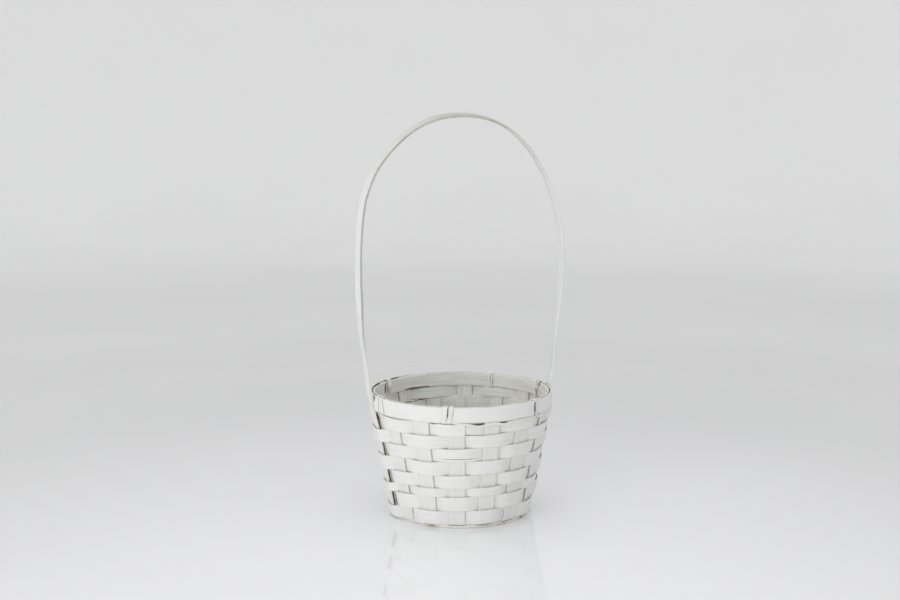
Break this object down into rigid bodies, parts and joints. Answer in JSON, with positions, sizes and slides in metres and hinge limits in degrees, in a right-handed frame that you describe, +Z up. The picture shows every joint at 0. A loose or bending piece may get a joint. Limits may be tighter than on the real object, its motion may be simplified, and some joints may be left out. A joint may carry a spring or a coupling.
{
  "type": "flower girl basket",
  "caption": "Round tapered basket woven from flat white-painted wood splints, with a lashed double rim hoop and a tall fixed hoop handle, for carrying petals at a wedding",
  "frame": {"origin": "centre of the basket's round footprint, on the surface that it rests on", "axes": "+X along the handle's span, +Y across the handle strip, +Z up"},
  "size_m": [0.2142, 0.1826, 0.3946],
  "materials": {
    "stake_paint": "white paint over wood splint, matt to satin, grain showing",
    "weaver_paint": "white paint over wood splint, satin, grain showing",
    "rim_paint": "white paint over wood hoop, satin",
    "binder_paint": "white paint over thin cane strip, satin",
    "handle_paint": "white paint over bent wood strip, satin, bare brown edges in places",
    "tack_metal": "steel tack painted over with the basket",
    "foot_wood": "thin white paint over bare wood, worn through in places"
  },
  "bodies": {
    "root": {"stake_splint_1": "stake_paint", "stake_splint_2": "stake_paint", "stake_splint_3": "stake_paint", "stake_splint_4": "stake_paint", "stake_splint_5": "stake_paint", "stake_splint_6": "stake_paint", "stake_splint_7": "stake_paint", "stake_splint_8": "stake_paint", "weaver_1": "weaver_paint", "weaver_2": "weaver_paint", "weaver_3": "weaver_paint", "weaver_4": "weaver_paint", "weaver_5": "weaver_paint", "weaver_6": "weaver_paint", "weaver_7": "weaver_paint", "weaver_8": "weaver_paint", "outer_rim_hoop": "rim_paint", "inner_rim_hoop": "rim_paint", "lashing_1": "binder_paint", "lashing_2": "binder_paint", "lashing_3": "binder_paint", "lashing_4": "binder_paint", "lashing_5": "binder_paint", "lashing_6": "binder_paint", "binder_run_1": "binder_paint", "binder_run_2": "binder_paint", "binder_run_3": "binder_paint", "binder_run_4": "binder_paint", "handle": "handle_paint", "handle_tacks": "tack_metal", "foot_hoop": "foot_wood"}
  },
  "joints": []
}
